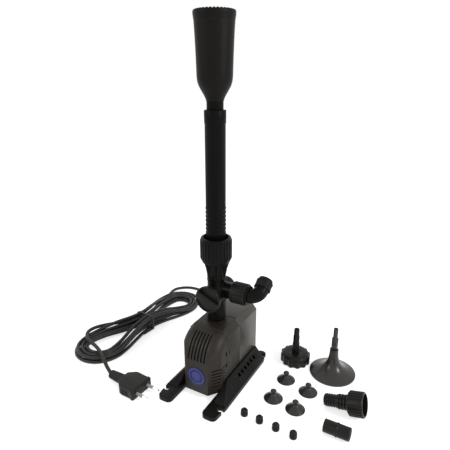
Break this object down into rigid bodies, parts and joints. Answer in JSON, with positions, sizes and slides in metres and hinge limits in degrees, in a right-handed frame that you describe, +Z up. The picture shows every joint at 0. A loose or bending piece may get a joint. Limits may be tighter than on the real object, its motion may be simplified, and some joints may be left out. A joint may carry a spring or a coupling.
{
  "type": "fountain pump",
  "caption": "Submersible fountain pump on a railed foot, with a regulator tee, side elbow, tilting telescopic riser, spray nozzle, coiled mains cord and loose fittings.",
  "frame": {"origin": "on the floor, under the vertical axis of the outlet and the riser", "axes": "+Z up along the riser, -Y towards the intake cage's front, +X towards the side outlet"},
  "size_m": [0.4026, 0.2869, 0.4383],
  "materials": {
    "housing": "satin warm black moulding",
    "plastic": "satin black moulding",
    "rail": "satin black moulding",
    "rubber": "matt",
    "badge": "printed disc in two blues",
    "foam": "open-cell foam",
    "steel": "stainless",
    "ceramic": "ground ceramic",
    "ferrite": "sintered ferrite",
    "nylon": "natural",
    "seal": "nitrile",
    "lamination": "stacked sheet",
    "copper": "enamelled wire",
    "resin": "potting resin",
    "cord": "matt sheath",
    "pins": "nickel plated",
    "sleeve": "insulating sleeve"
  },
  "bodies": {
    "base": {"middle_housing": "housing", "rear_housing": "housing", "base_screws": "steel", "base_plate": "rail", "right_rail": "rail", "left_rail": "rail", "pump_chamber": "plastic", "chamber_cover": "plastic", "front_bush": "rubber", "rear_bush": "rubber", "ceramic_shaft": "ceramic", "chamber_seal": "seal", "chamber_screws": "steel", "stator_core": "lamination", "coil_bobbins": "nylon", "coil_windings": "copper", "motor_block": "resin", "cord_gland": "rubber", "outlet_collar": "rail", "tee_body": "plastic", "valve_cap": "plastic", "valve_seal": "seal", "side_washer": "rubber", "riser_adapter": "plastic", "cord_run": "cord", "cord_hank": "cord", "cord_lead": "cord", "cord_tie": "cord", "plug_body": "cord", "plug_pins": "pins", "pin_sleeves": "sleeve", "waterfall_cap": "plastic", "cap_stem": "plastic", "trumpet_nozzle": "plastic", "trumpet_stem": "plastic", "suction_cups": "rubber", "rubber_plugs": "rubber", "hose_tail": "plastic", "tail_nut": "plastic", "straight_connector": "plastic"},
    "cage": {"front_cage": "housing", "badge": "badge", "filter_foam": "foam"},
    "rotor": {"rotor_magnet": "ferrite", "impeller": "nylon"},
    "valve": {"valve_plug": "nylon", "valve_knob": "plastic"},
    "side_nut": {"side_nut": "plastic"},
    "elbow": {"elbow": "plastic", "elbow_collar": "plastic"},
    "riser_nut": {"riser_nut": "plastic"},
    "swivel": {"ball_seal": "seal"},
    "riser": {"riser_ball": "plastic", "riser_tube": "plastic"},
    "telescope": {"inner_tube": "plastic"},
    "nozzle": {"nozzle_body": "plastic", "nozzle_crown": "plastic", "spray_plate": "plastic"}
  },
  "joints": [
    {"name": "rotor_spin", "type": "hinge", "parent": "base", "child": "rotor", "pos_m": [0, 0, 0.0305], "axis": [0, 1, 0], "continuous": true},
    {"name": "cage_pull", "type": "slide", "parent": "base", "child": "cage", "axis": [0, -1, 0], "range_m": [0, 0.03]},
    {"name": "valve_turn", "type": "hinge", "parent": "base", "child": "valve", "pos_m": [0, -0.01, 0.121], "axis": [0, 1, 0], "range_deg": [-24, 66]},
    {"name": "side_nut_turn", "type": "hinge", "parent": "base", "child": "side_nut", "pos_m": [0.03, 0.003, 0.127], "axis": [1, 0, 0], "continuous": true},
    {"name": "elbow_turn", "type": "hinge", "parent": "base", "child": "elbow", "pos_m": [0.045, 0.003, 0.127], "axis": [1, 0, 0], "continuous": true},
    {"name": "riser_nut_turn", "type": "hinge", "parent": "base", "child": "riser_nut", "pos_m": [0, 0, 0.18], "axis": [0, 0, 1], "continuous": true},
    {"name": "ball_turn", "type": "hinge", "parent": "base", "child": "swivel", "pos_m": [0, 0, 0.176], "axis": [0, 0, 1], "continuous": true},
    {"name": "riser_tilt", "type": "hinge", "parent": "swivel", "child": "riser", "pos_m": [0, 0, 0.176], "axis": [1, 0, 0], "range_deg": [-6, 6]},
    {"name": "telescope_slide", "type": "slide", "parent": "riser", "child": "telescope", "axis": [0, 0, 1], "range_m": [0, 0.09]},
    {"name": "nozzle_turn", "type": "hinge", "parent": "telescope", "child": "nozzle", "pos_m": [0, 0, 0.35], "axis": [0, 0, 1], "continuous": true}
  ]
}
